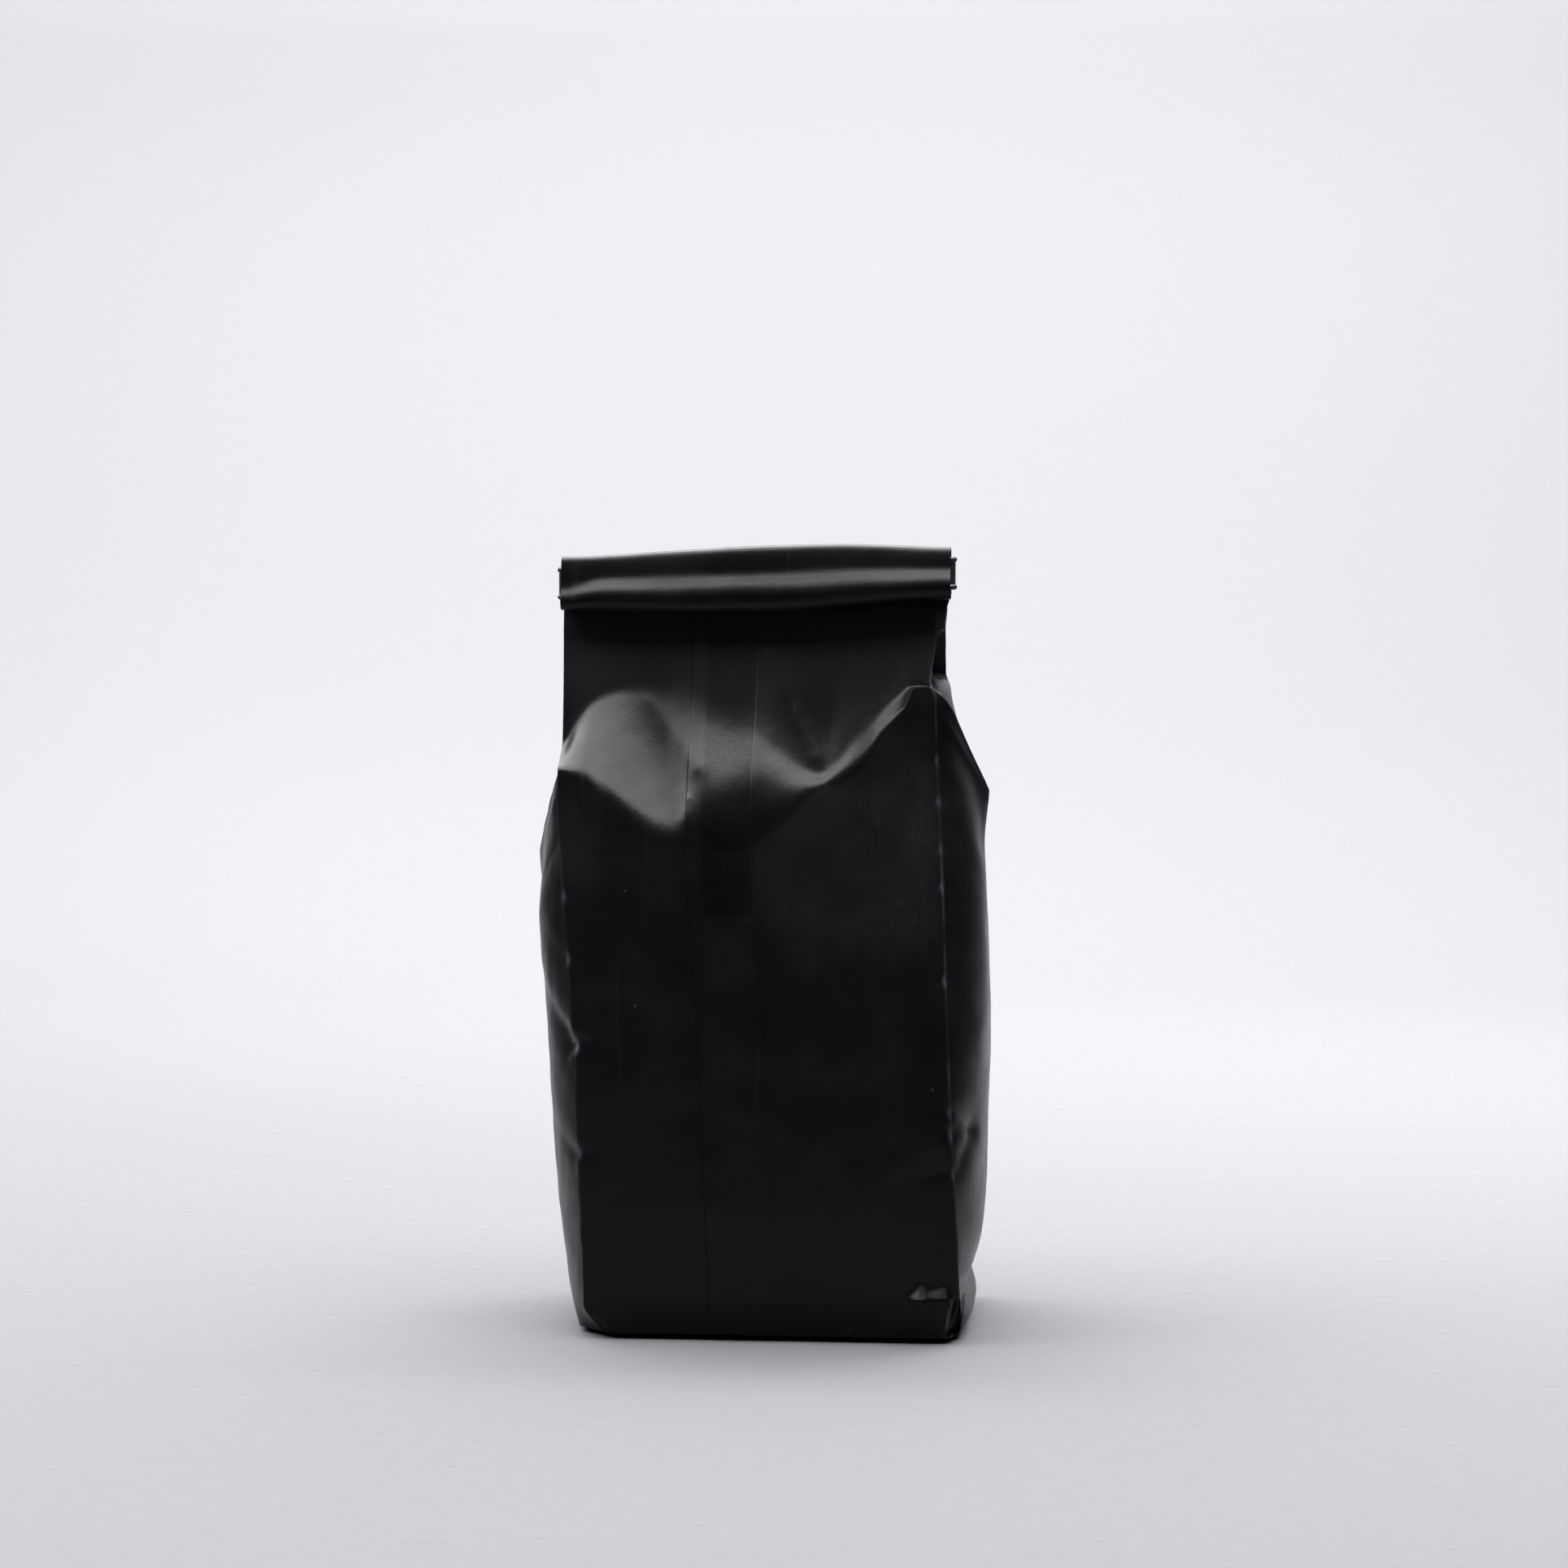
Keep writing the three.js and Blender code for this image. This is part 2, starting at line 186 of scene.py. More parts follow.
# The lean left at the turn, as a share of the full lean.
frontTaper = through((-1, 1), (-0.85, 1), (-0.45, 0.45), (-0.22, 1), (1, 1))
# How far the turn stands in front of the neck; from there the film settles back to the roll.
frontStep = through(
    (-1, 3), (-0.7, 1.4), (-0.5, 1), (-0.2, 4.8), (0.1, 7), (0.3, 7.6), (0.38, 8.4), (0.46, 7.4),
    (0.54, 5.4), (0.72, 3.2), (0.86, 2.4), (1, 2),
)
# How far the panel bends back below the shoulder.
frontSetBack = through(
    (-1, 5.5), (-0.85, 4.2), (-0.7, 0.8), (-0.4, 0), (0, 5.2), (0.35, 8.4), (0.55, 10), (0.7, 11.2),
    (0.85, 11), (1, 8),
)
backEdge = through((-1, 122), (-0.55, 116), (-0.15, 119), (0.3, 114), (0.72, 127), (1, 140))
backTurn = through((-1, 134), (-0.4, 147), (0.25, 144), (1, 146))
backRise = through((-1, 0.5), (0, 0.8), (1, 0.6))
backSoft = through((-1, 4), (-0.4, 10), (0.25, 8), (1, 2))
rollTop = through((-42, 172.2), (-18, 173.5), (4, 174.5), (18, 174.8), (44, 174.1))
rollBottom = through((-42, 160.3), (-18, 159.6), (2, 159.8), (44, 162.6))
rollDepth = through((-42, 7.4), (-28, 7.8), (2, 8), (32, 7.8), (44, 7.4))
# How much of its depth the roll keeps from bottom to top.
rollFullness = through((-1, 1), (-0.45, 1), (0.35, 0.47), (1, 0.46))
# By height, how far the back of the neck stands in from the roll on the right.
backNarrower = through((142, -1.6), (147, -0.5), (152, 0.8), (156, 1.3), (161, 0.9))
# At its left end the roll is pressed flat lower down.
rollPress = through((-44, 0.34), (-34, 0))


def rollMiddle(x):
    return (rollTop(x) + rollBottom(x)) / 2


# Columns of film, anticlockwise once round the bag.
# u runs across a panel from -1 to 1, out from -1 in front to 1 behind, and h is 1 in a gusset's middle.
def filmColumns(front, side, back):
    edges = [seam[name] for name in ("left", "right", "knurlLeft", "knurlRight")]
    seamEdges = [e + d * seam["edge"] for e in edges for d in (-2, -1, 0, 1, 2)]
    creaseEdges = [1 - d for d in (0.006, 0.014, 0.025, 0.04)]
    fine = seamEdges + creaseEdges + [-e for e in creaseEdges]
    across = np.unique(np.concatenate([np.linspace(-1, 1, front), fine]).round(5))[:-1]
    inGusset = 1 - np.cos(np.linspace(0, math.pi, side + 1)[:-1])
    behind = np.linspace(1, -1, back + 1)[:-1]
    u = np.concatenate([across, np.ones(side), behind, -np.ones(side)])
    out = np.concatenate([-np.ones(len(across)), inGusset - 1, np.ones(back), 1 - inGusset])
    isPanel = np.concatenate(
        [np.full(len(across), True), np.full(side, False), np.full(back, True), np.full(side, False)]
    )
    return {
        "u": u,
        "out": out,
        "isPanel": isPanel,
        "isFront": isPanel & (out < 0),
        "side": np.where(isPanel, 0, np.sign(u)),
        "end": np.sign(u),
        "h": np.where(isPanel, 0, 1 - np.abs(out)),
    }


# A gusset's value is worked out at the crease in front or behind, then mixed towards its middle.
def frontOrBack(c, front, back):
    return np.where(c["out"] < 0, front, back)


def wallTop(c):
    corner = frontOrBack(c, frontEdge(c["u"]), backEdge(c["u"]))
    peak = np.where(c["end"] < 0, gusset["leftPeak"], gusset["rightPeak"])
    return mix(corner, peak, c["h"])


def wallPoints(c, v):
    z = mix(base["edgeLift"], wallTop(c), v)
    under = base["turnInset"] * (1 - ease(0, base["turnHeight"], z)) ** 2
    nearEnd = ease(*base["cutAcross"], np.abs(c["u"]))
    nearPanel = 1 - ease(0, base["cutInGusset"], c["h"])
    nearCorner = np.where(c["isPanel"], nearEnd, nearPanel)
    cut = np.where(c["end"] < 0, base["leftCut"], base["rightCut"])
    cut = cut * nearCorner * (1 - ease(0, base["cutHeight"], z))
    crown = body["crown"] * (1 - c["u"] ** 4) * ease(*body["crownHeights"], z)
    bulge = np.where(c["end"] < 0, leftBulge(z), rightBulge(z))
    rounded = mix(1 - (1 - c["h"]) ** gusset["fullness"], c["h"], ease(*gusset["straightens"], v))
    x = mix(leftCrease(z), rightCrease(z), (c["u"] + 1) / 2)
    x = x + c["side"] * (bulge * rounded - under * c["h"]) - c["end"] * cut
    setBack = frontSetBack(c["u"]) * (c["out"] < 0) * ease(*body["bendHeights"], z)
    y = c["out"] * (body["halfDepth"] + crown - under - base["cutBack"] * cut - setBack)
    return np.stack(np.broadcast_arrays(x, y, z), -1)


def inNeck(c):
    inset = neck["frontInset"] * ease(*neck["insetAcross"], c["u"]) * (c["out"] < 0)
    tucked = neck["gussetInset"] * c["h"] * c["side"]
    return mix(neck["left"], neck["right"], (c["u"] + 1) / 2) - inset - tucked


def neckPoints(c):
    y = neck["y"] + c["out"] * neck["thickness"] / 2
    return np.stack([inNeck(c), y, np.full(len(c["u"]), neck["height"])], -1)


# A panel from its edge (w = 0) to the neck (w = 1): the lean is added up into a depth, at even steps of film.
def panelShoulder(w, edge, turn, rise, soft, taper, depth, step):
    z = np.linspace(edge, np.full_like(edge, neck["height"]), neck["leanSteps"])
    along = (z - edge) / (turn - edge)
    left = np.clip((neck["height"] - z) / (neck["height"] - turn), 0, 1)
    ending = ease(turn - soft / 2, turn + soft / 2, z)
    leaning = ease(0, rise, along) * mix(1, taper, np.clip(along, 0, 1)) * (1 - ending)
    lean = np.cumsum(leaning, 0)
    settle = np.cumsum(ending * left ** neck["settling"], 0)
    fall = (depth - step) * lean / lean[-1] + step * settle / settle[-1]
    up = np.diff(z, axis=0, prepend=z[:1])
    back = np.diff(fall, axis=0, prepend=fall[:1])
    run = np.cumsum(np.hypot(up, back), 0)
    columns = range(len(edge))
    even = [np.interp(w[:, 0] * run[-1, i], run[:, i], z[:, i]) for i in columns]
    fallen = [np.interp(w[:, 0] * run[-1, i], run[:, i], fall[:, i]) for i in columns]
    return np.stack(even, 1), np.stack(fallen, 1)


def creasePoints(c, w):
    front = c["out"] < 0
    edge = frontOrBack(c, frontEdge(c["u"]), backEdge(c["u"]))
    turn = frontOrBack(c, frontTurn(c["u"]), backTurn(c["u"]))
    rise = frontOrBack(c, frontRise(c["u"]), backRise(c["u"]))
    soft = frontOrBack(c, frontSoft(c["u"]), backSoft(c["u"]))
    sign = np.where(front, -1, 1)
    start = wallPoints(c, np.ones(len(c["u"])))
    depth = np.abs(start[:, 1]) - sign * neck["y"] - neck["thickness"] / 2
    taper = frontOrBack(c, frontTaper(c["u"]), 1)
    step = frontOrBack(c, frontStep(c["u"]), neck["backStep"])
    z, fall = panelShoulder(w, edge, turn, rise, soft, taper, depth, step)
    ahead = ease(edge, neck["height"], z)
    x = mix(start[:, 0], inNeck(c), ahead)
    return np.stack([x, sign * (np.abs(start[:, 1]) - fall), z], -1)


# Panels lean back as above. A gusset is drawn between its creases, and its middle tucks in.
def shoulderPoints(c, w):
    crease = {**c, "h": 0 * c["h"], "side": 0 * c["side"]}
    ahead = creasePoints({**crease, "out": -np.ones_like(c["out"])}, w)
    behind = creasePoints({**crease, "out": np.ones_like(c["out"])}, w)
    across = ((c["out"] + 1) / 2)[:, None]
    ruled = mix(ahead, behind, across)
    middle = {**c, "h": np.ones_like(c["h"]), "out": 0 * c["out"]}
    peak = wallPoints(middle, np.ones(len(c["u"])))
    neckEnd = np.where(c["end"] < 0, neck["left"], neck["right"])
    tuck = np.stack(
        [
            neckEnd - c["end"] * gusset["foldReach"],
            np.full(len(c["u"]), neck["y"] + gusset["foldBehind"]),
            np.full(len(c["u"]), gusset["foldHeight"]),
        ],
        -1,
    )
    at = w[..., None]
    route = (1 - at) ** 2 * peak + 2 * at * (1 - at) * tuck + at * at * neckPoints(middle)
    return ruled + c["h"][:, None] * (route - mix(ahead, behind, 0.5))


# The middle of the film pack in y and z: up behind the roll, over its crease and on round inside.
def rollPath(x, angle):
    def inset(a):
        return roll["pitch"] * (a - roll["start"]) / (2 * math.pi)

    def bow(value):
        return np.sign(value) * np.abs(value) ** (2 / roll["squareness"])

    over, under = inset(math.pi / 2), inset(3 * math.pi / 2)
    halfDepth = rollDepth(x) / 2
    halfHeight = (rollTop(x) - rollBottom(x) - roll["film"] + over + under) / 2
    depth = halfDepth - (halfDepth - inset(angle)) * bow(np.cos(angle))
    z = (halfHeight - inset(angle)) * bow(np.sin(angle))
    pressed = rollFullness(z / halfHeight + rollPress(x))
    beyond = np.maximum(0, depth - roll["fullDepth"])
    return neck["y"] - (depth - beyond + beyond * pressed), rollMiddle(x) + (over - under) / 2 + z


def rollPoints(c, angle):
    x = inNeck(c) + 0 * angle
    y, z = rollPath(x, angle)
    yAhead, zAhead = rollPath(x, angle + roll["nudge"])
    yBehind, zBehind = rollPath(x, angle - roll["nudge"])
    along = np.stack([yAhead - yBehind, zAhead - zBehind])
    along = along / np.linalg.norm(along, axis=0)
    half = c["out"] * roll["film"] / 2
    return np.stack([x, y + half * along[1], z - half * along[0]], -1)


# A crease pressed into the film: its two ends, how far out it stands at each end, how fast it dies away
# on the left and on the right of that direction, and how soft its ridge is.
def fold(start, end, out, wide, soft):
    return {"start": start, "end": end, "out": out, "wide": wide, "soft": soft}


frontCreases = {
    "shoulderRidge": fold((-23.5, 140), (-12.5, 126), (0.4, 1), (2.6, 2.6), 1.2),
    "dentLine": fold((14.4, 124.5), (18.5, 150), (-1.0, -0.3), (2.5, 3.5), 0.5),
    "dentSide": fold((12.5, 128), (3.5, 150), (0.5, 0.3), (2.2, 2.2), 0.8),
    "shoulderNotch": fold((33.2, 143.4), (38.6, 143.7), (-0.15, -0.45), (0.9, 0.4), 0.1),
    "sealDimple": fold((2.2, 156), (4.6, 154.6), (0.35, 0.3), (0.8, 0.8), 0.5),
    "lowSheen": fold((42, 45.5), (14, 28), (0.5, 0), (3, 6), 1.6),
    "lowCrease": fold((43, 38.2), (36.4, 36), (-0.4, -0.12), (0.6, 1.6), 0.15),
    "seatFold": fold((-36, 8.6), (40, 9.4), (0.22, 0.3), (2.2, 1), 0.6),
}
# The same in the gussets, by depth and height.
leftCreases = {
    "pinchAbove": fold((-28.6, 66), (-6, 83), (-1.1, 0), (1.5, 4), 0.4),
    "pinchBelow": fold((-28.6, 64.6), (-10, 55), (-0.7, 0), (4, 1.2), 0.3),
    "shoulderFold": fold((-27, 121), (-4, 103), (0.7, 0.2), (2, 4), 0.5),
    "highFold": fold((-27, 112), (-12, 96), (-0.6, 0), (1.2, 3), 0.3),
    "middleFold": fold((-28, 84), (-14, 92), (-0.45, 0), (1.5, 3), 0.3),
    "lowFold": fold((-28.4, 41.4), (-8, 50), (-0.5, 0), (1.5, 4), 0.4),
    "backFold": fold((27, 70), (6, 58), (-0.7, 0), (1.5, 4), 0.4),
}
rightCreases = {
    "waveAbove": fold((-28.4, 50.5), (-18, 46), (-0.3, -0.8), (2, 1.6), 0.4),
    "waveBelow": fold((-18, 46), (-28.4, 38), (-0.8, -0.2), (1.6, 3), 0.4),
    "facetEdge": fold((-26, 142), (-3, 121), (0.9, 0.3), (2.2, 1.2), 0.1),
    "backEdge": fold((-13, 142), (-1, 123), (2.2, 0.6), (5, 6), 1),
    "middleFold": fold((-28.4, 80), (-12, 84), (-0.5, 0), (1.2, 4), 0.3),
    "seatFold": fold((-28.4, 12), (-4, 13), (-1.2, -0.9), (1.2, 3), 0.15),
    "backFold": fold((27, 92), (4, 80), (-0.8, 0), (1.5, 4), 0.4),
}
backCreases = {
    "shoulderFold": fold((-30, 126), (6, 112), (0.8, -0.3), (3, 5), 0.8),
    "dent": fold((22, 122), (4, 142), (-1.0, -0.4), (3, 4), 0.8),
    "middleFold": fold((41, 72), (18, 64), (-0.6, 0), (1.5, 5), 0.5),
    "lowFold": fold((-38, 34), (-20, 40), (-0.5, 0), (1.5, 4), 0.4),
}
# Pinches in the front creases: height, depth and half height of each.
leftPinches = ((97.8, 0.25, 1.2), (84.1, 0.35, 1.4), (65.2, 1, 1.8), (41.4, 0.4, 1.6))
rightPinches = (
    (127.6, 0.25, 0.8), (118.7, 0.3, 0.9), (108.2, 0.25, 0.8), (100.3, 0.3, 0.9), (80, 0.5, 1.1),
    (51.2, 0.35, 1), (46.4, 0.35, 1.6), (37.6, 0.3, 1),
)
# How many of its half heights a pinch reaches along the film, and how it moves the crease.
pinch = {"reach": 1.6, "drawnIn": 0.75, "pushedBack": 0.65}


def creaseRelief(across, up, creases):
    total = 0 * across
    for line in creases.values():
        start, end = np.array(line["start"]), np.array(line["end"])
        span = end - start
        length = math.hypot(*span)
        toX, toY = across - start[0], up - start[1]
        t = np.clip((toX * span[0] + toY * span[1]) / length**2, 0, 1)
        away = np.hypot(toX - t * span[0], toY - t * span[1])
        side = (span[0] * toY - span[1] * toX) / length / np.maximum(away, 1e-6)
        wide = mix(line["wide"][1], line["wide"][0], (np.clip(side, -1, 1) + 1) / 2)
        rounded = np.sqrt(away**2 + line["soft"] ** 2) - line["soft"]
        total = total + mix(line["out"][0], line["out"][1], t) * np.exp(-rounded / wide)
    return total


# The lap seam: two layers thick between its edges, pressed down where it is knurled, and lifted a little
# along its left edge at the shoulder.
def seamRelief(u, z):
    edge = seam["edge"]

    def between(left, right, soft):
        return ease(left - edge, left + edge, u) - ease(right - soft, right + soft, u)

    pressed = seam["knurlDepth"] * between(seam["knurlLeft"], seam["knurlRight"], edge)
    pressed = pressed * ease(seam["bottom"] - seam["bottomFade"], seam["bottom"], z)
    lifted = seam["lift"] * ease(*seam["liftFrom"], z) * (1 - ease(*seam["liftTo"], z))
    lifted = lifted * ease(seam["liftWidth"], 0, np.abs(u - seam["left"]))
    return (seam["relief"] + lifted) * between(seam["left"], seam["right"], seam["softEdge"]) - pressed


# The corner of the seat is crushed: small facets lean back from a sharp lower edge that stands out.
crush = {
    "edge": 10.4,
    "slope": 0.56,
    "drop": 0.4,
    "at": (33.6, 37.2, 39.1, 42.4, 44),
    "heights": (0, 3.9, 2, 3.1, 0),
}


def crushRelief(x, z):
    height = np.interp(x, crush["at"], crush["heights"], 0, 0)
    above = z - crush["edge"]
    facet = np.clip(height - above, 0, height) * np.clip(1 + above / crush["drop"], 0, 1)
    return crush["slope"] * facet


# Beside the crushed facets the corner is folded back on itself, which leaves a groove and a rim.
torn = {
    "middle": 43.5,
    "halfWidth": 1.25,
    "lean": 0.2,
    "low": 1.4,
    "lowFade": 0.8,
    "high": 10.4,
    "highFade": 1.2,
    "deep": 3.8,
    "behind": -20,
}


def tornDepth(x, y, z):
    away = (x - torn["middle"] - torn["lean"] * (z - torn["low"])) / torn["halfWidth"]
    inside = ease(torn["low"], torn["low"] + torn["lowFade"], z)
    inside = inside * (1 - ease(torn["high"] - torn["highFade"], torn["high"], z))
    return torn["deep"] * np.exp(-(away**4)) * inside * (y < torn["behind"])


def pinchDepth(z, fromCrease, pinches):
    total = 0 * z
    for height, depth, half in pinches:
        away = ((z - height) / half) ** 2 + fromCrease / (pinch["reach"] * half)
        total = total + depth * np.exp(-away)
    return total


# Meshes


def newObject(name, points, faces, material, smooth=True):
    mesh = bpy.data.meshes.new(name)
    mesh.from_pydata((np.asarray(points) * mm).tolist(), [], faces)
    mesh.materials.append(material)
    mesh.polygons.foreach_set("use_smooth", [smooth] * len(mesh.polygons))
    mesh.update()
    piece = bpy.data.objects.new(name, mesh)
    bpy.context.scene.collection.objects.link(piece)
    return piece


# Quads between rings of points, each ring closed on itself, with a face over each end.
def ringFaces(rows, count, caps=True):
    i = np.arange(count)
    after = (i + 1) % count
    faces = []
    for j in range(rows - 1):
        low, high = j * count, (j + 1) * count
        faces += np.stack([low + i, low + after, high + after, high + i], -1).tolist()
    if caps:
        faces.append(list(range(count))[::-1])
        faces.append(list(range((rows - 1) * count, rows * count)))
    return faces


def gridNormals(grid):
    along = np.roll(grid, -1, 1) - np.roll(grid, 1, 1)
    up = np.gradient(grid, axis=0)
    normal = np.cross(along, up)
    return normal / np.maximum(np.linalg.norm(normal, axis=-1, keepdims=True), 1e-9)


# Materials


# One output of a node. Arithmetic on it adds Math nodes, and node() adds any other.
class Signal:
    def __init__(self, tree, socket=None):
        self.tree, self.socket = tree, socket

    def node(self, kind, settings=None, sockets=None, output=0):
        made = self.tree.nodes.new(kind)
        for name, value in (settings or {}).items():
            setattr(made, name, value)
        for key, value in (sockets or {}).items():
            if isinstance(value, Signal):
                self.tree.links.new(value.socket, made.inputs[key])
            else:
                made.inputs[key].default_value = value
        return Signal(self.tree, made.outputs[output])

    def math(self, operation, *values):
        return self.node("ShaderNodeMath", {"operation": operation}, dict(enumerate(values)))

    def __add__(self, other):
        return self.math("ADD", self, other)

    def __mul__(self, other):
        return self.math("MULTIPLY", self, other)

    def __sub__(self, other):
        return self.math("SUBTRACT", self, other)

    def __rsub__(self, other):
        return self.math("SUBTRACT", other, self)

    def ramp(self, low, high, toLow=0.0, toHigh=1.0):
        settings = {"interpolation_type": "SMOOTHSTEP"}
        values = {"Value": self, "From Min": low, "From Max": high, "To Min": toLow, "To Max": toHigh}
        return self.node("ShaderNodeMapRange", settings, values)

    def bump(self, metres, normal=None):
        sockets = {"Height": self, "Distance": metres}
        if normal:
            sockets["Normal"] = normal
        return self.node("ShaderNodeBump", None, sockets, "Normal")


def newMaterial(name, specular):
    material = bpy.data.materials.new(name)
    material.use_nodes = True
    shader = material.node_tree.nodes["Principled BSDF"]
    shader.inputs["Specular IOR Level"].default_value = specular
    return material, shader, Signal(material.node_tree)


def connect(shader, **sockets):
    for name, signal in sockets.items():
        shader.id_data.links.new(signal.socket, shader.inputs[name])


def noise(place, scale, detail=2.0, roughness=0.5):
    sockets = {"Vector": place, "Scale": scale, "Detail": detail, "Roughness": roughness}
    return place.node("ShaderNodeTexNoise", None, sockets)


def blend(amount, first, second):
    settings = {"data_type": "RGBA"}
    return amount.node("ShaderNodeMix", settings, {0: amount, 6: (*first, 1), 7: (*second, 1)}, 2)


# A further colour laid over one that's already a signal.
def paint(amount, under, color):
    settings = {"data_type": "RGBA"}
    return amount.node("ShaderNodeMix", settings, {0: amount, 6: under, 7: (*color, 1)}, 2)


def stretched(place, scale, rotation=(0, 0, 0)):
    return place.node("ShaderNodeMapping", None, {"Vector": place, "Scale": scale, "Rotation": rotation})


# Satin black film: fine grain, soft crinkles, hairline scratches and specks, with painted highlights along
# the creases.
# Painted shade makes it darker towards the seat, and painted light makes it paler in the neck under the roll.
filmFinish = {
    "color": (0.0024, 0.0028, 0.0034),
    "paler": (0.0036, 0.004, 0.0047),
    # Painted shade: a darker colour laid over the film towards the seat.
    "seat": (0.0007, 0.0009, 0.0013),
    "seatShadeHeights": (0.01, 0.09),
    # Painted light: a paler colour laid over the neck under the roll, where the roll shades it.
    "neck": (0.0095, 0.0108, 0.0125),
    "neckHeights": (0.138, 0.15),
    "rollHeights": (0.159, 0.162),
    # Painted highlight along the creases; also the colour of the real pale specks and hairline scratches.
    "highlightAndWear": (0.09, 0.094, 0.105),
    "speckWear": 0.25,
    "hairWear": 0.008,
    "roughness": (0.3, 0.37),
    "grainRoughness": 0.14,
    "hairRoughness": 0.06,
    "grainHeight": 0.000018,
    "crinkleHeight": 0.00007,
    "specular": 0.18,
}


def filmMaterialNodes():
    material, shader, start = newMaterial("film", filmFinish["specular"])
    place = start.node("ShaderNodeTexCoord", output="Object")
    creaseHighlight = start.node("ShaderNodeAttribute", {"attribute_name": "creaseHighlight"}, None, "Fac")
    clouds = noise(place, 70, 3)
    grain = noise(place, 1400, 2, 0.6)
    crinkle = noise(place, 210, 4, 0.55)
    hairs = noise(stretched(place, (500, 500, 22), (0.3, 0.5, 0.9)), 1, 1).ramp(0.7, 0.74)
    crossed = noise(stretched(place, (16, 420, 420), (0.2, -0.6, 0.4)), 1, 1).ramp(0.72, 0.76)
    specks = place.node("ShaderNodeTexVoronoi", None, {"Vector": place, "Scale": 160, "Randomness": 1})
    picked = noise(place, 95, 0).ramp(0.68, 0.7)
    speck = (1 - specks.ramp(0.035, 0.06)) * picked
    height = start.node("ShaderNodeSeparateXYZ", None, {0: place}, 2)
    lower = blend(clouds.ramp(0.35, 0.65), filmFinish["color"], filmFinish["paler"])
    # Painted shade: the film is darkened towards the seat.
    paintedSeatShade = 1 - height.ramp(*filmFinish["seatShadeHeights"])
    lower = paint(paintedSeatShade, lower, filmFinish["seat"])
    # Painted light: the neck under the roll is made paler.
    paintedNeckLight = height.ramp(*filmFinish["neckHeights"]) * (1 - height.ramp(*filmFinish["rollHeights"]))
    color = paint(paintedNeckLight, lower, filmFinish["neck"])
    # Painted highlights along the creases and the real specks and hairline scratches take the pale colour.
    highlightAndWearAmount = creaseHighlight.math("MAXIMUM", creaseHighlight, speck * filmFinish["speckWear"])
    highlightAndWearAmount = highlightAndWearAmount.math("MAXIMUM", highlightAndWearAmount, (hairs + crossed) * filmFinish["hairWear"])
    highlightAndWear = paint(highlightAndWearAmount, color, filmFinish["highlightAndWear"])
    roughness = clouds.ramp(0.3, 0.7, *filmFinish["roughness"])
    roughness = roughness + (grain - 0.5) * filmFinish["grainRoughness"] + hairs * filmFinish["hairRoughness"]
    normal = grain.bump(filmFinish["grainHeight"], crinkle.bump(filmFinish["crinkleHeight"]))
    connect(shader, **{"Base Color": highlightAndWear, "Roughness": roughness, "Normal": normal})
    return material


# The tie: a coated band, duller than the film.
tieFinish = {
    "color": (0.006, 0.0065, 0.007),
    "paler": (0.012, 0.0125, 0.0135),
    "roughness": (0.38, 0.52),
    "specular": 0.4,
}


def tieMaterialNodes():
    material, shader, start = newMaterial("tie", tieFinish["specular"])
    place = start.node("ShaderNodeTexCoord", output="Object")
    grain = noise(place, 2600, 2, 0.6)
    clouds = noise(place, 300, 3)
    color = blend(clouds.ramp(0.35, 0.65), tieFinish["color"], tieFinish["paler"])
    roughness = grain.ramp(0.3, 0.7, *tieFinish["roughness"])
    connect(shader, **{"Base Color": color, "Roughness": roughness, "Normal": grain.bump(0.00003)})
    return material


# Pale grey with painted light and shade: darker in front, paler towards the back and the right, and paler
# again up the sweep.
floorFinish = {
    "near": (0.094, 0.094, 0.101),
    "far": (0.127, 0.127, 0.134),
    "high": (0.167, 0.167, 0.176),
    "turn": (-0.2, 0.75),
    "rise": (0.1, 0.6),
    "slant": 0.8,
    "unevenness": 0.05,
    "roughness": 0.9,
    "specular": 0.2,
}


def floorMaterialNodes():
    material, shader, start = newMaterial("floor", floorFinish["specular"])
    place = start.node("ShaderNodeTexCoord", output="Object")
    grain = noise(place, 240, 3)
    x, y, z = (start.node("ShaderNodeSeparateXYZ", None, {0: place}, i) for i in range(3))
    # Painted light: the colour grades paler towards the back and the right, and paler again up the sweep.
    depth = y + x * floorFinish["slant"] + noise(place, 5, 2) * floorFinish["unevenness"]
    level = blend(depth.ramp(*floorFinish["turn"]), floorFinish["near"], floorFinish["far"])
    color = paint(z.ramp(*floorFinish["rise"]), level, floorFinish["high"])
    even = floorFinish["roughness"]
    roughness = grain.ramp(0.2, 0.8, even - 0.05, even + 0.05)
    connect(shader, **{"Base Color": color, "Roughness": roughness, "Normal": grain.bump(0.00005)})
    return material


filmMaterial = filmMaterialNodes()
tieMaterial = tieMaterialNodes()
floorMaterial = floorMaterialNodes()
print("materials made")

# The film body

# How many columns and rows of film each stretch has; more rows lie near the seat, across its crushed facets.
fineness = {
    "front": 120,
    "side": 36,
    "back": 52,
    "wall": 150,
    "crowding": 1.15,
    "facets": 24,
    "facetsBetween": (0.05, 0.12),
    "shoulder": 88,
    "behindRoll": 8,
    "roll": 96,
}


def finely(name):
    return int(fineness[name] * (1))


columns = filmColumns(finely("front"), finely("side"), finely("back"))
wallRows = np.linspace(0, 1, finely("wall")) ** fineness["crowding"]
facetRows = np.linspace(*fineness["facetsBetween"], finely("facets"))
wallRows = np.union1d(wallRows, facetRows)[:, None]
shoulderRows = np.linspace(0, 1, finely("shoulder"))[1:, None]
rollRows = np.linspace(roll["start"], roll["end"], finely("roll"))[:, None]

